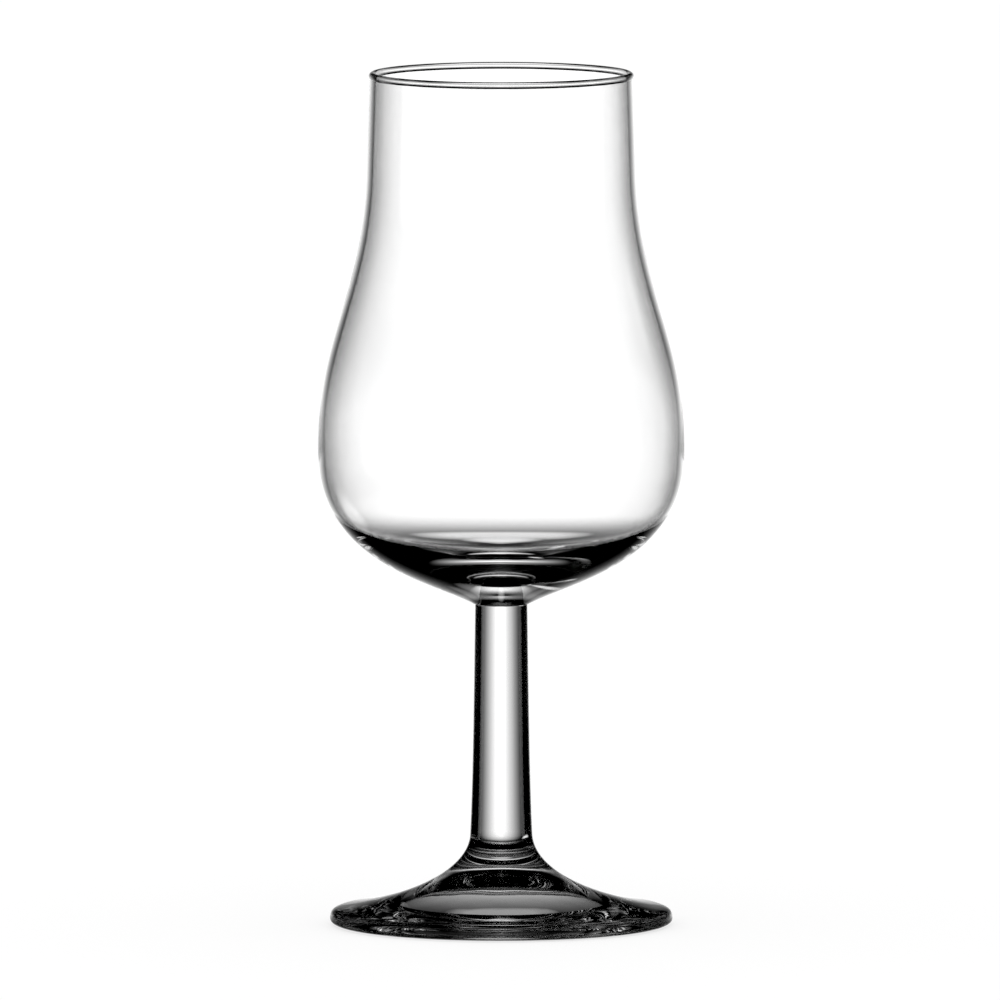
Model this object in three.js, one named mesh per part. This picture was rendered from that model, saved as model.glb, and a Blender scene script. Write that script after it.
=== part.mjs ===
// A stemmed tasting glass in clear glass: a tulip bowl, a drawn stem and a pressed foot, fused end to end.
// Millimetres, +Z up. The origin is on the table under the middle of the foot.
import * as THREE from "three";

// Heights of the three pieces, from the table up
const FOOT_HEIGHT = 14; // table to the collar that carries the stem
const STEM_LENGTH = 35.6; // collar to the weld under the bowl
const BOWL_HEIGHT = 82.4; // weld to the top of the rim

// Foot: a flared disc that stands on a flat ring, with a domed hollow pressed up inside the ring
const FOOT_RADIUS = 26.45; // widest part of the rounded edge
const FOOT_WIDEST_HEIGHT = 0.95; // height of that widest part
const FOOT_SHOULDER_HEIGHT = 2.7; // where the top surface turns into the edge
const FOOT_SHOULDER_INSET = 1.95; // distance of that turn inside the widest part
const FOOT_TOP_SLOPE = 8.1; // fall of the top surface at the turn, degrees
const FOOT_FLARE_PULL = 6.1; // how far the flare keeps the line of the stem
const FOOT_TOP_PULL = 9.2; // how far the flare keeps the slope of the top surface
const FOOT_EDGE_PULL = 1.75; // roundness of the edge above the widest part
const FOOT_EDGE_DROP = 1.05; // how upright the edge is at its widest part
const FOOT_EDGE_UNDERCUT = 1.96; // distance of the resting ring inside the widest part
const FOOT_RING_WIDTH = 8.7; // flat ring that rests on the table
const FOOT_HOLLOW_DEPTH = 6.4; // rise of the underside in the middle
const FOOT_HOLLOW_CROWN = 3.8; // how far the hollow stays flat in the middle

// Stem: a solid rod that swells a little towards the foot
const STEM_TOP_RADIUS = 4.03; // at the weld under the bowl
const STEM_BASE_RADIUS = 4.8; // at the collar of the foot
const STEM_TOP_LEAN = 1; // lean of the side at the top, degrees from upright
const STEM_BASE_LEAN = 3; // lean of the side at the collar, degrees from upright
const STEM_TOP_PULL = 10.7; // how far the top keeps its lean
const STEM_BASE_PULL = 8.9; // how far the base keeps its lean

// Bowl, outside: a rounded belly that narrows to a nearly straight chimney
const BELLY_RADIUS = 28.3; // widest part of the bowl
const BELLY_HEIGHT = 24.2; // widest part above the weld
const NECK_RADIUS = 20.78; // foot of the chimney
const CHIMNEY_LENGTH = 16.1; // straight part under the rim
const RIM_RADIUS = 20.45; // outside of the bead at the mouth
const NECK_PULL = 17.7; // how far the shoulder keeps the line of the chimney
const SHOULDER_PULL = 16.8; // how upright the wall is above the belly
const BELLY_PULL = 17.6; // how upright the wall is under the belly
const UNDERSIDE_SLOPE = 28.1; // rise of the underside where it leaves the weld, degrees
const UNDERSIDE_PULL = 8.5; // how far the underside keeps that slope

// Bowl, inside: a thin wall over a thick bottom
const RIM_BEAD = 1.24; // fire-polished bead that ends the rim
const RIM_WALL = 0.92; // wall just under the bead
const NECK_WALL = 0.95; // wall at the foot of the chimney
const BELLY_WALL = 0.95; // inside of the belly from the outside of it
const INSIDE_BELLY_HEIGHT = 25.55; // widest part of the inside above the weld
const INSIDE_SHOULDER_PULL = 14.6; // how upright the inside is above its widest part
const BOTTOM_THICKNESS = 7; // glass between the weld and the inside of the bowl
const INSIDE_BELLY_PULL = 15.5; // how upright the inside is under its widest part
const BOTTOM_PULL = 19.9; // how far the inside bottom stays flat
const BOTTOM_CROWN = 0.37; // pull of the inside bottom below its middle, which leaves a slight crown

// Facets
const TURN_FACETS = 64;
const CURVE_FACETS = 12;
const TIGHT_FACETS = 6;

const deg = THREE.MathUtils.degToRad;
const at = (r, z) => new THREE.Vector2(r, z);

// A cubic curve from a to d, pulled through b and c, without its first point.
function bend(a, b, c, d, facets) {
  return new THREE.CubicBezierCurve(a, b, c, d).getPoints(facets).slice(1);
}

// A closed body turned round +Z from a profile that starts and ends on the axis.
function turned(name, profile, colour) {
  const geometry = new THREE.LatheGeometry(profile, TURN_FACETS);
  geometry.rotateX(Math.PI / 2);
  const material = new THREE.MeshStandardMaterial({
    color: colour,
    roughness: 0.03,
    metalness: 0,
    transparent: true,
    opacity: 0.35,
  });
  const mesh = new THREE.Mesh(geometry, material);
  mesh.name = name;
  return mesh;
}

function makeFoot() {
  const slope = deg(FOOT_TOP_SLOPE);
  const lean = deg(STEM_BASE_LEAN);
  const ringOuter = FOOT_RADIUS - FOOT_EDGE_UNDERCUT;
  const ringInner = ringOuter - FOOT_RING_WIDTH;
  const shoulder = at(FOOT_RADIUS - FOOT_SHOULDER_INSET, FOOT_SHOULDER_HEIGHT);
  const widest = at(FOOT_RADIUS, FOOT_WIDEST_HEIGHT);
  const collar = at(STEM_BASE_RADIUS, FOOT_HEIGHT);
  const hollow = bend(
    at(0, FOOT_HOLLOW_DEPTH),
    at(FOOT_HOLLOW_CROWN, FOOT_HOLLOW_DEPTH),
    at((2 * ringInner) / 3, (2 * FOOT_HOLLOW_DEPTH) / 3),
    at(ringInner, 0),
    CURVE_FACETS,
  );
  const underEdge = bend(
    at(ringOuter, 0),
    at(ringOuter + FOOT_EDGE_UNDERCUT * 0.6, 0),
    at(FOOT_RADIUS, FOOT_WIDEST_HEIGHT * 0.4),
    widest,
    TIGHT_FACETS,
  );
  const edge = bend(
    widest,
    at(FOOT_RADIUS, FOOT_WIDEST_HEIGHT + FOOT_EDGE_DROP),
    at(
      shoulder.x + FOOT_EDGE_PULL * Math.cos(slope),
      shoulder.y - FOOT_EDGE_PULL * Math.sin(slope),
    ),
    shoulder,
    TIGHT_FACETS,
  );
  const flare = bend(
    shoulder,
    at(
      shoulder.x - FOOT_TOP_PULL * Math.cos(slope),
      shoulder.y + FOOT_TOP_PULL * Math.sin(slope),
    ),
    at(
      collar.x + FOOT_FLARE_PULL * Math.sin(lean),
      collar.y - FOOT_FLARE_PULL * Math.cos(lean),
    ),
    collar,
    CURVE_FACETS,
  );
  const profile = [at(0, FOOT_HOLLOW_DEPTH), ...hollow, at(ringOuter, 0), ...underEdge];
  profile.push(...edge, ...flare, at(0, FOOT_HEIGHT));
  return turned("foot", profile, 0xeef1f1);
}

function makeStem() {
  const topLean = deg(STEM_TOP_LEAN);
  const baseLean = deg(STEM_BASE_LEAN);
  const side = bend(
    at(STEM_BASE_RADIUS, 0),
    at(
      STEM_BASE_RADIUS - STEM_BASE_PULL * Math.sin(baseLean),
      STEM_BASE_PULL * Math.cos(baseLean),
    ),
    at(
      STEM_TOP_RADIUS + STEM_TOP_PULL * Math.sin(topLean),
      STEM_LENGTH - STEM_TOP_PULL * Math.cos(topLean),
    ),
    at(STEM_TOP_RADIUS, STEM_LENGTH),
    TIGHT_FACETS,
  );
  const profile = [at(0, 0), at(STEM_BASE_RADIUS, 0), ...side, at(0, STEM_LENGTH)];
  const stem = turned("stem", profile, 0xeef1f1);
  stem.position.z = FOOT_HEIGHT;
  return stem;
}

function makeBowl() {
  const slope = deg(UNDERSIDE_SLOPE);
  const neckHeight = BOWL_HEIGHT - CHIMNEY_LENGTH;
  const beadRound = RIM_BEAD / 2;
  const beadTurn = Math.acos(RIM_WALL / RIM_BEAD);
  const rim = new THREE.EllipseCurve(
    RIM_RADIUS - beadRound,
    BOWL_HEIGHT - beadRound,
    beadRound,
    beadRound,
    -beadTurn,
    Math.PI + beadTurn,
  ).getPoints(CURVE_FACETS);
  const lean = Math.atan2(NECK_RADIUS - rim[0].x, rim[0].y - neckHeight);
  const weld = at(STEM_TOP_RADIUS, 0);
  const belly = at(BELLY_RADIUS, BELLY_HEIGHT);
  const neck = at(NECK_RADIUS, neckHeight);
  const innerNeck = at(NECK_RADIUS - NECK_WALL, neckHeight);
  const innerBelly = at(BELLY_RADIUS - BELLY_WALL, INSIDE_BELLY_HEIGHT);
  const underside = bend(
    weld,
    at(
      STEM_TOP_RADIUS + UNDERSIDE_PULL * Math.cos(slope),
      UNDERSIDE_PULL * Math.sin(slope),
    ),
    at(BELLY_RADIUS, BELLY_HEIGHT - BELLY_PULL),
    belly,
    CURVE_FACETS,
  );
  const shoulder = bend(
    belly,
    at(BELLY_RADIUS, BELLY_HEIGHT + SHOULDER_PULL),
    at(
      NECK_RADIUS + NECK_PULL * Math.sin(lean),
      neckHeight - NECK_PULL * Math.cos(lean),
    ),
    neck,
    CURVE_FACETS,
  );
  const innerShoulder = bend(
    innerNeck,
    at(
      innerNeck.x + NECK_PULL * Math.sin(lean),
      neckHeight - NECK_PULL * Math.cos(lean),
    ),
    at(innerBelly.x, INSIDE_BELLY_HEIGHT + INSIDE_SHOULDER_PULL),
    innerBelly,
    CURVE_FACETS,
  );
  const bottom = bend(
    innerBelly,
    at(innerBelly.x, INSIDE_BELLY_HEIGHT - INSIDE_BELLY_PULL),
    at(BOTTOM_PULL, BOTTOM_THICKNESS - BOTTOM_CROWN),
    at(0, BOTTOM_THICKNESS),
    CURVE_FACETS,
  );
  const profile = [at(0, 0), weld, ...underside, ...shoulder, ...rim];
  profile.push(innerNeck, ...innerShoulder, ...bottom);
  const bowl = turned("bowl", profile, 0xf2f4f4);
  bowl.position.z = FOOT_HEIGHT + STEM_LENGTH;
  return bowl;
}

const glass = new THREE.Group();
glass.name = "tasting_glass";
glass.add(makeFoot(), makeStem(), makeBowl());
export default glass;
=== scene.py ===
# %% [markdown]
# A stemmed tasting glass in clear glass. The real glass is made of three gathers that are fused while
# hot: a blown tulip bowl, a drawn stem and a pressed foot. Clear glass has almost no colour of its own.
# What the eye sees is the room bent through it, so this lesson spends its care on true curves, true wall
# thickness and a studio that gives those curves something bright and something dark.

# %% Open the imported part
import math

import bmesh
import bpy
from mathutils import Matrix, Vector
from mathutils.geometry import interpolate_bezier


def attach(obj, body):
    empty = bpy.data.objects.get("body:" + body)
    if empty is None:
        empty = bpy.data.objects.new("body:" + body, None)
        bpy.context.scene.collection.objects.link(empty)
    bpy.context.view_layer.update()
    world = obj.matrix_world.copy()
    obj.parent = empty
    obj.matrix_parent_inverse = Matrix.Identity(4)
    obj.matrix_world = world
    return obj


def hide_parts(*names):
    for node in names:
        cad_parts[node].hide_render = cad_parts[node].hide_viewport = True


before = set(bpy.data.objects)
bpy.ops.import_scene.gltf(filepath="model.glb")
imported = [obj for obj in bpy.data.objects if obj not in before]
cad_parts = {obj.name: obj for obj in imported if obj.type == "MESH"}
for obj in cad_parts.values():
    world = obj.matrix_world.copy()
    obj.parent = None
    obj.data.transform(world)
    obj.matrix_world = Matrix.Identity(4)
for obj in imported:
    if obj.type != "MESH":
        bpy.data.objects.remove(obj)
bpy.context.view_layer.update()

MM = 0.001
ML = 1e-6
scene = bpy.context.scene


# %% [markdown]
# Every piece is turned round one axis, as on a lathe, so each one starts as half of its outline. The
# outline could be drawn as straight steps and smoothed afterwards, but smoothing pulls a curve off its
# measured points. Here each stretch is a cubic curve between two measured points, with a handle at each
# end. Sizes are in millimetres and angles in degrees. A pull is the length of a handle: the longer it is,
# the further the curve keeps the direction in which it leaves the point.

# %% Draw a stretch of an outline


def point(radius, height):
    """A point of an outline, from millimetres."""
    return Vector((radius * MM, 0.0, height * MM))


def along(start, angle, length):
    """The point that lies a length from start, at an angle above level."""
    slope = math.radians(angle)
    return start + point(length * math.cos(slope), length * math.sin(slope))


def stretch(start, start_handle, end_handle, end, points):
    """A cubic curve from start to end, as a list of points."""
    return interpolate_bezier(start, start_handle, end_handle, end, points)


print("a point 10 mm out and 5 mm up is", [round(v, 4) for v in point(10, 5)])

# %% [markdown]
# The outline becomes a body with one spin. A screw modifier would do the same, but the operator leaves a
# plain mesh whose poles can be merged shut. Glass shows every facet twice, at the front and at the back,
# so the turn has many steps. Faces are smooth, and only sharp corners, such as those at a weld, stay
# crisp.

# %% Turn an outline into a piece
TURN_STEPS = 256
CRISP_ANGLE = 30
TOUCH = 1e-7


def put(name, data):
    """An object at the origin that shows a mesh or a camera."""
    made = bpy.data.objects.new(name, data)
    scene.collection.objects.link(made)
    return made


def turn(name, outline, weld_heights):
    """A closed body from half an outline. Flat faces at a weld height take the second material."""
    bm = bmesh.new()
    verts = [bm.verts.new(p) for p in outline]
    edges = [bm.edges.new(pair) for pair in zip(verts, verts[1:])]
    bmesh.ops.spin(
        bm,
        geom=verts + edges,
        cent=(0, 0, 0),
        axis=(0, 0, 1),
        angle=math.tau,
        steps=TURN_STEPS,
        use_merge=True,
    )
    bmesh.ops.remove_doubles(bm, verts=bm.verts, dist=TOUCH)
    bmesh.ops.recalc_face_normals(bm, faces=bm.faces)
    for face in bm.faces:
        face.smooth = True
        for height in weld_heights:
            if all(abs(v.co.z - height * MM) < TOUCH for v in face.verts):
                face.material_index = 1
    for edge in bm.edges:
        edge.smooth = edge.calc_face_angle(0.0) < math.radians(CRISP_ANGLE)
    loose = [edge for edge in bm.edges if len(edge.link_faces) != 2]
    volume = bm.calc_volume() / ML
    mesh = bpy.data.meshes.new(name)
    bm.to_mesh(mesh)
    bm.free()
    print(name, len(mesh.polygons), "faces,", len(loose), "open edges,", round(volume, 2), "ml of glass")
    return put(name, mesh)


print("a piece is turned in", TURN_STEPS, "steps")

# %% [markdown]
# The foot is a flared disc. A stamp presses a domed hollow into it from below, and leaves a flat ring to
# stand on, so a scratch from the table never shows in the middle. A flat underside would be simpler, but
# the dome is what bends the dark lens and the grey band into the foot.

# %% Underside of the foot
FOOT_RADIUS = 26.45
WIDEST_HEIGHT = 0.95
RING_OUTER = 24.49
RING_INNER = 15.79
HOLLOW_DEPTH = 6.4
HOLLOW_CROWN_PULL = 3.8
HOLLOW_FULLNESS = 2 / 3
HOLLOW_POINTS = 40
UNDER_EDGE_PULL = 1.18
UNDER_EDGE_HEIGHT = 0.38
UNDER_EDGE_POINTS = 16

crown = point(0, HOLLOW_DEPTH)
ring_in = point(RING_INNER, 0)
ring_out = point(RING_OUTER, 0)
widest = point(FOOT_RADIUS, WIDEST_HEIGHT)
crown_handle = point(HOLLOW_CROWN_PULL, HOLLOW_DEPTH)
ring_handle = (crown + ring_in) * HOLLOW_FULLNESS
foot_outline = stretch(crown, crown_handle, ring_handle, ring_in, HOLLOW_POINTS)
foot_outline += stretch(
    ring_out,
    point(RING_OUTER + UNDER_EDGE_PULL, 0),
    point(FOOT_RADIUS, UNDER_EDGE_HEIGHT),
    widest,
    UNDER_EDGE_POINTS,
)
print("the resting ring is", round(RING_OUTER - RING_INNER, 2), "mm wide")

# %% [markdown]
# The top of the foot leaves its rounded edge at a low slope and sweeps up into a collar for the stem, as
# soft glass does when it is drawn in. One long curve gives that sweep, where two joined arcs would show a
# seam.

# %% Top of the foot
FOOT_HEIGHT = 14.0
EDGE_HANDLE_HEIGHT = 2.0
EDGE_PULL = 1.75
EDGE_POINTS = 24
SHOULDER_INSET = 1.95
SHOULDER_HEIGHT = 2.7
TOP_SLOPE = 8.1
TOP_PULL = 9.2
FLARE_PULL = 6.1
FLARE_POINTS = 80
STEM_BASE_RADIUS = 4.8
STEM_BASE_LEAN = 3.0

foot_shoulder = point(FOOT_RADIUS - SHOULDER_INSET, SHOULDER_HEIGHT)
collar = point(STEM_BASE_RADIUS, FOOT_HEIGHT)
edge_handle = point(FOOT_RADIUS, EDGE_HANDLE_HEIGHT)
edge_end_handle = along(foot_shoulder, -TOP_SLOPE, EDGE_PULL)
flare_handle = along(foot_shoulder, 180 - TOP_SLOPE, TOP_PULL)
flare_end_handle = along(collar, STEM_BASE_LEAN - 90, FLARE_PULL)
foot_outline += stretch(widest, edge_handle, edge_end_handle, foot_shoulder, EDGE_POINTS)[1:]
foot_outline += stretch(foot_shoulder, flare_handle, flare_end_handle, collar, FLARE_POINTS)[1:]
foot_outline.append(point(0, FOOT_HEIGHT))
pressed_foot = turn("pressed_foot", foot_outline, [FOOT_HEIGHT])

# %% [markdown]
# The stem is drawn from hot glass, so it is solid and swells a little towards the foot. A plain cylinder
# would be simpler, but a straight side shows as a straight dark edge, and the real one is slightly
# curved.

# %% Turn the stem
STEM_TOP = 49.6
STEM_TOP_RADIUS = 4.03
STEM_TOP_LEAN = 1.0
STEM_TOP_PULL = 10.7
STEM_BASE_PULL = 8.9
STEM_POINTS = 48

stem_top = point(STEM_TOP_RADIUS, STEM_TOP)
base_handle = along(collar, 90 + STEM_BASE_LEAN, STEM_BASE_PULL)
top_handle = along(stem_top, STEM_TOP_LEAN - 90, STEM_TOP_PULL)
stem_outline = [point(0, FOOT_HEIGHT)]
stem_outline += stretch(collar, base_handle, top_handle, stem_top, STEM_POINTS)
stem_outline.append(point(0, STEM_TOP))
drawn_stem = turn("drawn_stem", stem_outline, [FOOT_HEIGHT, STEM_TOP])

# %% [markdown]
# The bowl is blown: a round belly that narrows to a nearly straight chimney. Its rim is cut and melted
# round in a flame, which gathers the edge into a small bead, thicker than the wall. The bead is modelled,
# because it is what draws the rim as a double line.

# %% Outside of the bowl
RIM_TOP = 132.0
RIM_RADIUS = 20.45
RIM_BEAD = 1.24
RIM_WALL = 0.92
NECK_RADIUS = 20.78
NECK_HEIGHT = 115.9
NECK_PULL = 17.7
BELLY_RADIUS = 28.3
BELLY_HEIGHT = 73.8
BELLY_PULL = 17.6
SHOULDER_PULL = 16.8
UNDERSIDE_SLOPE = 28.1
UNDERSIDE_PULL = 8.5
UNDERSIDE_POINTS = 90
SHOULDER_POINTS = 60
BEAD_STEPS = 28

bead = point(RIM_RADIUS - RIM_BEAD / 2, RIM_TOP - RIM_BEAD / 2)
bead_turn = math.degrees(math.acos(RIM_WALL / RIM_BEAD))
rim_out = along(bead, -bead_turn, RIM_BEAD / 2)
belly = point(BELLY_RADIUS, BELLY_HEIGHT)
neck = point(NECK_RADIUS, NECK_HEIGHT)
neck_lean = math.degrees(math.atan2(neck.x - rim_out.x, rim_out.z - neck.z))
underside_handle = along(stem_top, UNDERSIDE_SLOPE, UNDERSIDE_PULL)
belly_handle = belly - point(0, BELLY_PULL)
shoulder_handle = belly + point(0, SHOULDER_PULL)
neck_handle = along(neck, neck_lean - 90, NECK_PULL)
bowl_outline = [point(0, STEM_TOP)]
bowl_outline += stretch(stem_top, underside_handle, belly_handle, belly, UNDERSIDE_POINTS)
bowl_outline += stretch(belly, shoulder_handle, neck_handle, neck, SHOULDER_POINTS)[1:]
for step in range(BEAD_STEPS + 1):
    angle = (180 + 2 * bead_turn) * step / BEAD_STEPS - bead_turn
    bowl_outline.append(along(bead, angle, RIM_BEAD / 2))
print("the chimney leans in by", round(neck_lean, 2), "degrees")

# %% [markdown]
# The inside has its own curves. An even wall would be quicker to make, as a copy of the outside moved
# inwards, but the glass that gathers at the bottom of a blown bowl works as a lens, and it draws the dark
# crescent and the bright ellipse above the stem. The inside bottom is almost flat, with a slight crown.

# %% Inside of the bowl
NECK_WALL = 0.95
INSIDE_BELLY_RADIUS = 27.35
INSIDE_BELLY_HEIGHT = 75.15
INSIDE_SHOULDER_PULL = 14.6
INSIDE_BELLY_PULL = 15.5
INSIDE_BOTTOM = 56.6
BOTTOM_PULL = 19.9
BOTTOM_CROWN = 0.37
BOTTOM_POINTS = 100

neck_in = point(NECK_RADIUS - NECK_WALL, NECK_HEIGHT)
belly_in = point(INSIDE_BELLY_RADIUS, INSIDE_BELLY_HEIGHT)
bottom_in = point(0, INSIDE_BOTTOM)
neck_in_handle = along(neck_in, neck_lean - 90, NECK_PULL)
shoulder_in_handle = belly_in + point(0, INSIDE_SHOULDER_PULL)
belly_in_handle = belly_in - point(0, INSIDE_BELLY_PULL)
bottom_handle = point(BOTTOM_PULL, INSIDE_BOTTOM - BOTTOM_CROWN)
bowl_outline += stretch(neck_in, neck_in_handle, shoulder_in_handle, belly_in, SHOULDER_POINTS)
bowl_outline += stretch(belly_in, belly_in_handle, bottom_handle, bottom_in, BOTTOM_POINTS)[1:]
tulip_bowl = turn("tulip_bowl", bowl_outline, [STEM_TOP])

# %% [markdown]
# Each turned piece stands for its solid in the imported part. Nothing on the glass moves, so all three ride
# on the one rigid body.

# %% Hand the pieces to the frame
for piece, node in ((pressed_foot, "foot"), (drawn_stem, "stem"), (tulip_bowl, "bowl")):
    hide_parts(node)
    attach(piece, "root")
    print(piece.name, "stands for", node)

# %% [markdown]
# Three small helpers serve every finish. One turns a colour as it is written for a screen into the linear
# numbers that light adds up in. One adds a node, sets it and links it. One starts an empty material.

# %% Colour and node helpers


def linear(code):
    """A linear colour from an sRGB hex code."""
    parts = [int(code[i : i + 2], 16) / 255 for i in (0, 2, 4)]
    return tuple(c / 12.92 if c <= 0.04045 else ((c + 0.055) / 1.055) ** 2.4 for c in parts) + (1.0,)


def add(tree, kind, inputs=None, **settings):
    """A new node of a kind, with its settings, and its inputs set to values or linked to sockets."""
    node = tree.nodes.new(kind)
    for name, value in settings.items():
        setattr(node, name, value)
    for socket, value in (inputs or {}).items():
        if isinstance(value, bpy.types.NodeSocket):
            tree.links.new(value, node.inputs[socket])
        else:
            node.inputs[socket].default_value = value
    return node


def finish(name):
    """An empty node material and its tree."""
    material = bpy.data.materials.new(name)
    material.use_nodes = True
    material.node_tree.nodes.clear()
    return material, material.node_tree


print("white is", linear("FFFFFF"))

# %% [markdown]
# Where two gathers fuse, no surface is left inside the glass. The pieces could be joined into one mesh to
# get that, but each of them stands for its own solid, so their flat ends still touch. Those faces get an
# index of 1.

# %% Fused weld
fused_weld, tree = finish("clear soda-lime glass, fused weld")
# Light goes straight through with no reflection, so the eye sees no joint.
shader = add(
    tree,
    "ShaderNodeBsdfPrincipled",
    {"Base Color": linear("FFFFFF"), "Roughness": 0.0, "IOR": 1.0, "Transmission Weight": 1.0},
)
add(tree, "ShaderNodeOutputMaterial", {"Surface": shader.outputs["BSDF"]})
print(fused_weld.name)

# %% [markdown]
# The outer skins are all soda-lime glass, with an index of about 1.52 and no haze. They differ only in the
# unevenness that the making leaves. That could be modelled, but a bump gives it without more faces.

# %% Clear glass with a relief
GLASS_INDEX = 1.52


def clear_glass(tree, pattern, depth):
    """Ends a tree in clear glass with a relief that follows a pattern, to a depth in millimetres."""
    relief = add(tree, "ShaderNodeBump", {"Height": pattern, "Strength": 1.0, "Distance": depth * MM})
    shader = add(
        tree,
        "ShaderNodeBsdfPrincipled",
        {
            "Base Color": linear("FEFEFE"),
            "Roughness": 0.0,
            "IOR": GLASS_INDEX,
            "Transmission Weight": 1.0,
            "Normal": relief.outputs["Normal"],
        },
    )
    add(tree, "ShaderNodeOutputMaterial", {"Surface": shader.outputs["BSDF"]})


print("the index of the glass is", GLASS_INDEX)

# %% [markdown]
# Blown glass touches no mould on its inside and is polished by the flame, so it is the smoothest of the
# three. It keeps faint waves from the blowing, some 7 mm long and a few thousandths of a millimetre deep.

# %% Fire-polished blown glass
WAVE_LENGTH = 7.0
WAVE_DEPTH = 0.004

blown_glass, tree = finish("clear soda-lime glass, blown and fire-polished")
place = add(tree, "ShaderNodeTexCoord")
# The waves make reflections swim a little, and leave the view through the wall clear.
waves = add(
    tree,
    "ShaderNodeTexNoise",
    {"Vector": place.outputs["Object"], "Scale": 1 / (WAVE_LENGTH * MM), "Detail": 1.0, "Roughness": 0.4},
)
clear_glass(tree, waves.outputs["Fac"], WAVE_DEPTH)
print(blown_glass.name)

# %% [markdown]
# The stem was pulled from hot glass, and pulling draws every unevenness out into long cords. The pattern is
# therefore narrow across the stem and very long along it, by a Mapping node in front of the same noise.

# %% Drawn glass
CORD_WIDTH = 1.6
CORD_LENGTH = 30.0
CORD_DEPTH = 0.003

drawn_glass, tree = finish("clear soda-lime glass, drawn")
place = add(tree, "ShaderNodeTexCoord")
cord_scale = [1 / (size * MM) for size in (CORD_WIDTH, CORD_WIDTH, CORD_LENGTH)]
drawn_out = add(tree, "ShaderNodeMapping", {"Vector": place.outputs["Object"], "Scale": cord_scale})
# The cords give the edges of the stem's white core a faint upright grain.
cords = add(
    tree,
    "ShaderNodeTexNoise",
    {"Vector": drawn_out.outputs[0], "Scale": 1.0, "Detail": 1.0, "Roughness": 0.4},
)
clear_glass(tree, cords.outputs["Fac"], CORD_DEPTH)
print(drawn_glass.name)

# %% [markdown]
# Pressed glass takes the skin of the mould. Where the gather chilled against it, the surface keeps
# shallow folds some 5 mm long and a few hundredths of a millimetre deep, over ten times as deep as the
# bowl's waves.

# %% Pressed glass
FOLD_LENGTH = 5.0
FOLD_DEPTH = 0.05

pressed_glass, tree = finish("clear soda-lime glass, pressed in a mould")
place = add(tree, "ShaderNodeTexCoord")
# The folds break the clean bands in the foot into uneven streaks.
folds = add(
    tree,
    "ShaderNodeTexNoise",
    {"Vector": place.outputs["Object"], "Scale": 1 / (FOLD_LENGTH * MM), "Detail": 1.5, "Roughness": 0.45},
)
clear_glass(tree, folds.outputs["Fac"], FOLD_DEPTH)
print(pressed_glass.name)

# %% [markdown]
# Each piece gets its own skin first and the weld second, because the turning gave the weld faces the second
# material.

# %% Give the pieces their finish
for piece, skin in ((tulip_bowl, blown_glass), (drawn_stem, drawn_glass), (pressed_foot, pressed_glass)):
    piece.data.materials.append(skin)
    piece.data.materials.append(fused_weld)
    print(piece.name, "is", skin.name)

# %% [markdown]
# The studio is a bright-field one, as glass is usually photographed: a pale floor, a lit backdrop behind
# the glass and dark on both sides of it. The lit part shows through the glass as white, and the dark
# sides draw its edges. The camera sees white all round, so floor and backdrop ask what kind of ray they
# meet.

# %% Kinds of ray


def ray_kinds(tree):
    """Two sockets that are 1 for rays from the camera, and 1 for rays that come off or through glass."""
    path = add(tree, "ShaderNodeLightPath")
    glass_ray = add(
        tree,
        "ShaderNodeMath",
        {0: path.outputs["Is Glossy Ray"], 1: path.outputs["Is Transmission Ray"]},
        operation="MAXIMUM",
    )
    return path.outputs["Is Camera Ray"], glass_ray.outputs[0]


print("rays are sorted into camera, glass and other")

# %% [markdown]
# The floor is matt white paper. Part of what the camera sees of it is a steady glow, so it stays near
# white, and the rest is lit, so it keeps the shadow of the glass. Rays through the glass pass on to the
# backdrop. Under the foot they are dimmed by a painted shade, which makes the foot show almost black.

# %% White paper
PAPER_GLOW = 1.05
GLOW_SHARE = 0.7
PAINTED_SHADE_LEVEL = 0.35
PAINTED_SHADE_INNER = 27.0
PAINTED_SHADE_OUTER = 36.0

floor_paper, tree = finish("white paper, matt, painted shade under the foot")
camera_ray, glass_ray = ray_kinds(tree)
# Matt paper gives the eye an even white with a soft shadow and no shine.
paper = add(tree, "ShaderNodeBsdfDiffuse", {"Color": linear("F8F8F8")})
glow = add(tree, "ShaderNodeEmission", {"Color": linear("FFFFFF"), "Strength": PAPER_GLOW})
share = add(tree, "ShaderNodeMath", {0: camera_ray, 1: GLOW_SHARE}, operation="MULTIPLY")
lit = add(tree, "ShaderNodeMixShader", {0: share.outputs[0], 1: paper.outputs[0], 2: glow.outputs[0]})
# Painted shade under the foot: rays through the glass that cross the paper near the middle are dimmed, and
# this fades back to full between the inner and the outer radius.
place = add(tree, "ShaderNodeTexCoord")
reach = add(tree, "ShaderNodeVectorMath", {0: place.outputs["Object"]}, operation="LENGTH")
painted_shade = add(
    tree,
    "ShaderNodeMapRange",
    {0: reach.outputs["Value"], 1: PAINTED_SHADE_INNER * MM, 2: PAINTED_SHADE_OUTER * MM, 3: PAINTED_SHADE_LEVEL, 4: 1.0},
)
passed = add(tree, "ShaderNodeBsdfTransparent", {"Color": painted_shade.outputs[0]})
both = add(tree, "ShaderNodeMixShader", {0: glass_ray, 1: lit.outputs[0], 2: passed.outputs[0]})
add(tree, "ShaderNodeOutputMaterial", {"Surface": both.outputs[0]})
print(floor_paper.name)

# %% [markdown]
# The paper is one flat sheet, 6 m across. It lies a tenth of a millimetre under the foot, because two faces
# at the same height would show in patches.

# %% Pale floor
FLOOR_HALF = 3.0
FLOOR_GAP = 0.1

bm = bmesh.new()
bmesh.ops.create_grid(bm, x_segments=1, y_segments=1, size=FLOOR_HALF)
bmesh.ops.translate(bm, verts=bm.verts, vec=(0, 0, -FLOOR_GAP * MM))
mesh = bpy.data.meshes.new("floor")
bm.to_mesh(mesh)
bm.free()
floor = put("floor", mesh)
floor.data.materials.append(floor_paper)
print("floor", [round(v, 2) for v in floor.dimensions])

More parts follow.
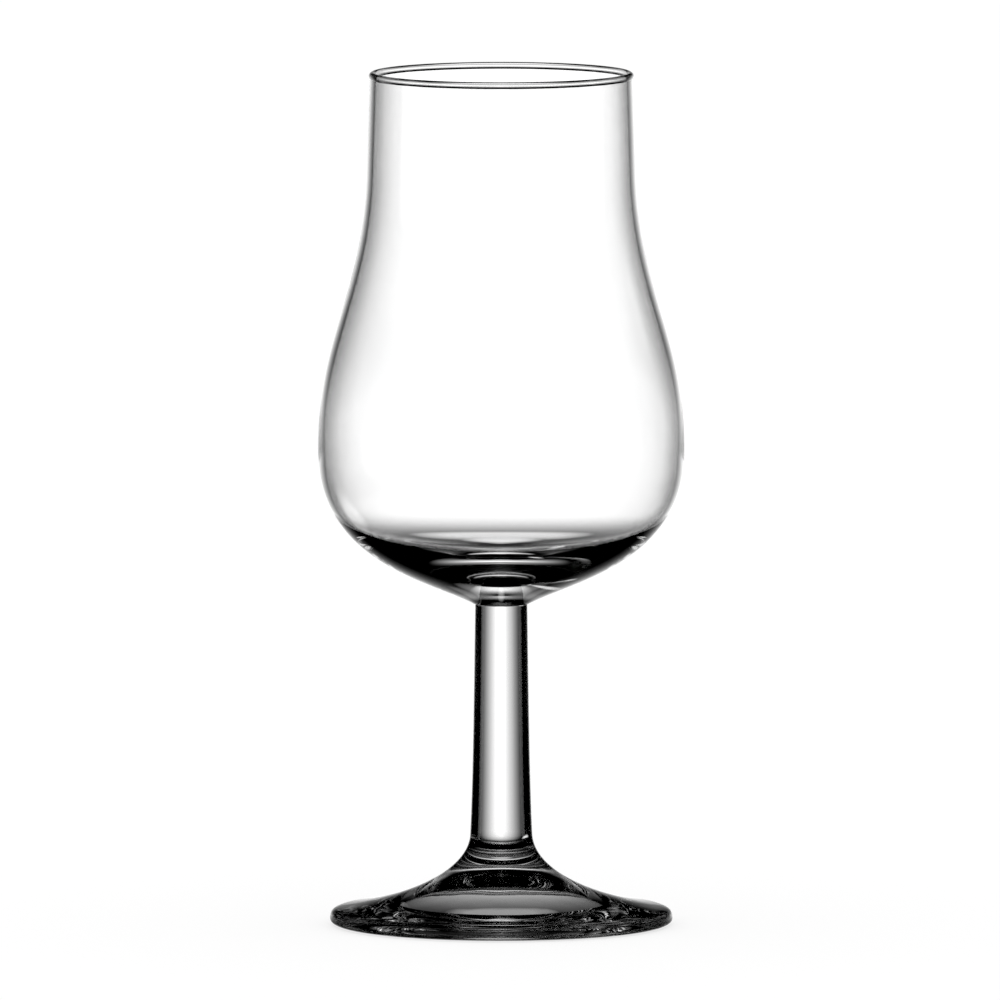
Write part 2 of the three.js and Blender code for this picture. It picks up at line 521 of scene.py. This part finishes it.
# %% [markdown]
# The lit backdrop is a soft pool of light straight behind the glass. It could be a lamp on a wall, but a
# world pattern is even and has no noise. The pool is an ellipse that is measured in degrees round the
# glass and up from level. It fades to dark above and at the sides, and reaches further down than up.

# %% Pool of light
POOL_SIDE = 1.5
POOL_RISE = -6.0
POOL_WIDTH = 38.0
POOL_ABOVE = 18.0
POOL_BELOW = 32.0
POOL_FALL = 1.7
POOL_GAIN = 1.6
POOL_MOST = 1.3

world = bpy.data.worlds.new("studio")
scene.world = world
world.use_nodes = True
tree = world.node_tree
tree.nodes.clear()
look = add(tree, "ShaderNodeTexCoord")
way = add(tree, "ShaderNodeSeparateXYZ", {0: look.outputs["Generated"]})
side = add(tree, "ShaderNodeMath", {0: way.outputs["X"], 1: way.outputs["Y"]}, operation="ARCTAN2")
rise = add(tree, "ShaderNodeMath", {0: way.outputs["Z"]}, operation="ARCSINE")
# Each angle becomes a distance from the middle of the pool, counted in half-widths.
distances = []
for angle, middle, half in (
    (side, POOL_SIDE, POOL_WIDTH),
    (rise, POOL_RISE, POOL_ABOVE),
    (rise, POOL_RISE, -POOL_BELOW),
):
    scaled = {0: angle.outputs[0], 1: 1 / math.radians(half), 2: -middle / half}
    distances.append(add(tree, "ShaderNodeMath", scaled, operation="MULTIPLY_ADD").outputs[0])
across, above, below = distances
upright = add(tree, "ShaderNodeMath", {0: above, 1: below}, operation="MAXIMUM")
spot = add(tree, "ShaderNodeCombineXYZ", {0: across, 1: upright.outputs[0]})
reach = add(tree, "ShaderNodeVectorMath", {0: spot.outputs[0]}, operation="LENGTH")
near = add(
    tree, "ShaderNodeMath", {0: 1.0, 1: reach.outputs["Value"]}, operation="SUBTRACT", use_clamp=True
)
fall = add(tree, "ShaderNodeMath", {0: near.outputs[0], 1: POOL_FALL}, operation="POWER")
gain = add(tree, "ShaderNodeMath", {0: fall.outputs[0], 1: POOL_GAIN}, operation="MULTIPLY")
light = add(tree, "ShaderNodeMath", {0: gain.outputs[0], 1: POOL_MOST}, operation="MINIMUM")
print("the pool is", 2 * POOL_WIDTH, "degrees wide and", POOL_ABOVE + POOL_BELOW, "degrees tall")

# %% [markdown]
# Small round panels add light where the pool does not reach. Two low ones behind the glass light the
# ellipse in the bottom of the bowl. The other five each stand opposite one place to look from: the two
# sides, the back and two raised corners. They are small, because a wide one would fill the dark edges of
# the glass. Seen from directions in between, or from the top, the glass finds no light and looks dark.

# %% Panels round the room
# Degrees round from the back, degrees up, half-widths of the even core and of the soft edge, and brightness.
panels = (
    (0, -30, 3, 7, 1.1),
    (0, -37, 3, 7, 1.1),
    (-90, -3, 5, 10, 1.0),
    (90, -3, 5, 10, 1.0),
    (180, -3, 5, 10, 1.0),
    (-45, -25, 6, 11, 0.95),
    (135, -15, 8, 15, 1.0),
)
for around, up, core, edge, level in panels:
    turned, raised, inner, outer = (math.radians(angle) for angle in (around, up, core, edge))
    flat = math.cos(raised)
    middle = (flat * math.sin(turned), flat * math.cos(turned), math.sin(raised))
    facing = add(
        tree, "ShaderNodeVectorMath", {0: look.outputs["Generated"], 1: middle}, operation="DOT_PRODUCT"
    )
    panel = add(
        tree,
        "ShaderNodeMapRange",
        {0: facing.outputs["Value"], 1: math.cos(outer), 2: math.cos(inner), 3: 0.0, 4: level},
    )
    light = add(tree, "ShaderNodeMath", {0: light.outputs[0], 1: panel.outputs[0]}, operation="MAXIMUM")
print(len(panels), "panels")

# %% [markdown]
# Only rays off or through glass see the pool and the panels. The camera sees plain white, at a strength of
# 1, and all other rays see the same even white, which lights the paper softly from every side.

# %% Lit backdrop
WHITE = 1.0

camera_ray, glass_ray = ray_kinds(tree)
seen = add(tree, "ShaderNodeMix", {0: glass_ray, 2: WHITE, 3: light.outputs[0]})
strength = add(tree, "ShaderNodeMix", {0: camera_ray, 2: seen.outputs[0], 3: WHITE})
sky = add(tree, "ShaderNodeBackground", {"Color": linear("FFFFFF"), "Strength": strength.outputs[0]})
add(tree, "ShaderNodeOutputWorld", {"Surface": sky.outputs[0]})
print(world.name, len(tree.nodes), "nodes")

# %% [markdown]
# The camera looks down by 5.3 degrees, the angle at which the mouth of the glass shows as the ellipse in
# the photograph. It stands 5 m away with a long lens, because the front and back of the rim are nearly
# the same width. The middle of the foot lands on the row of the picture where the photograph has it.

# %% Camera
FRAME_PIXELS = 1000
PIXELS_PER_MM = 6.481
BASE_ROW = 924.4
AIM_SIDE = -0.2
CAMERA_RISE = 5.3
CAMERA_DISTANCE = 5.0
CAMERA_SIGHT = 100.0
SENSOR_WIDTH = 36.0

lens = bpy.data.cameras.new("camera")
lens.sensor_width = SENSOR_WIDTH
lens.lens = SENSOR_WIDTH * CAMERA_DISTANCE / (FRAME_PIXELS / PIXELS_PER_MM * MM)
lens.clip_end = CAMERA_SIGHT
camera = put("camera", lens)
scene.camera = camera
climb = math.radians(CAMERA_RISE)
aim_height = (BASE_ROW - FRAME_PIXELS / 2) / PIXELS_PER_MM / math.cos(climb)
aim = Vector((AIM_SIDE * MM, 0, aim_height * MM))
back = Vector((0, -math.cos(climb), math.sin(climb)))
camera.location = aim + back * CAMERA_DISTANCE
camera.rotation_euler = (math.pi / 2 - climb, 0, 0)
print("lens", round(lens.lens), "mm, aim", [round(v, 4) for v in aim])

# %% [markdown]
# Light crosses many surfaces in the thick glass of the foot and the bowl's bottom. A low limit would end
# such rays in black, so the limits are raised. The Standard view shows colours as they are, so white
# stays white.

# %% Picture settings
GLASS_PASSES = 32
REFLECTIONS = 16

scene.view_settings.view_transform = "Standard"
scene.cycles.max_bounces = GLASS_PASSES
scene.cycles.transmission_bounces = GLASS_PASSES
scene.cycles.transparent_max_bounces = GLASS_PASSES
scene.cycles.glossy_bounces = REFLECTIONS
print("light may cross", GLASS_PASSES, "surfaces")
